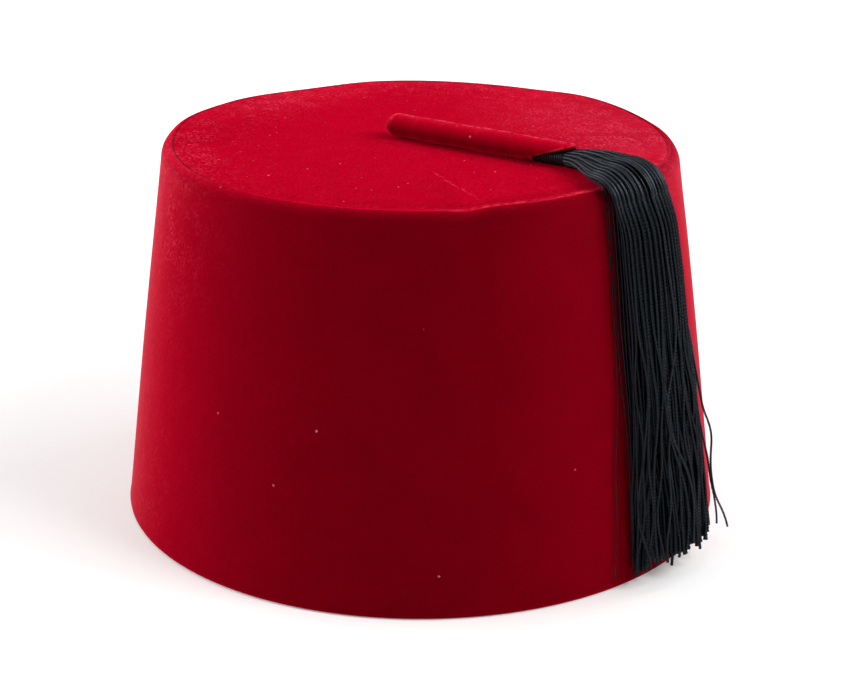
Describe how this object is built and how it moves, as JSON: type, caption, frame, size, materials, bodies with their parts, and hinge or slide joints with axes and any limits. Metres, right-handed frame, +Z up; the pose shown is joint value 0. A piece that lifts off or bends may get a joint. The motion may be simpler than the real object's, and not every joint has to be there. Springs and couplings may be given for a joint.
{
  "type": "fez hat",
  "caption": "Brimless red velvet hat, a cone open below with a flat round crown, a rolled velvet stem on top and a black thread tassel hanging down one side to the rim.",
  "frame": {"origin": "centre of the footprint, tassel included, in the plane that the rim rests on; the hat's own axis is 2.8 mm from it towards -X", "axes": "+Z up through the crown, +X towards the side that the tassel hangs on and along the stem"},
  "size_m": [0.1976, 0.192, 0.1268],
  "materials": {
    "velvet": "short dense red velvet pile, dark where it is seen straight on and bright at grazing angles",
    "thread": "black twisted rayon cord with a soft sheen"
  },
  "bodies": {
    "root": {"side_wall": "velvet", "crown_tip": "velvet", "stem": "velvet", "tassel": "thread"}
  },
  "joints": []
}
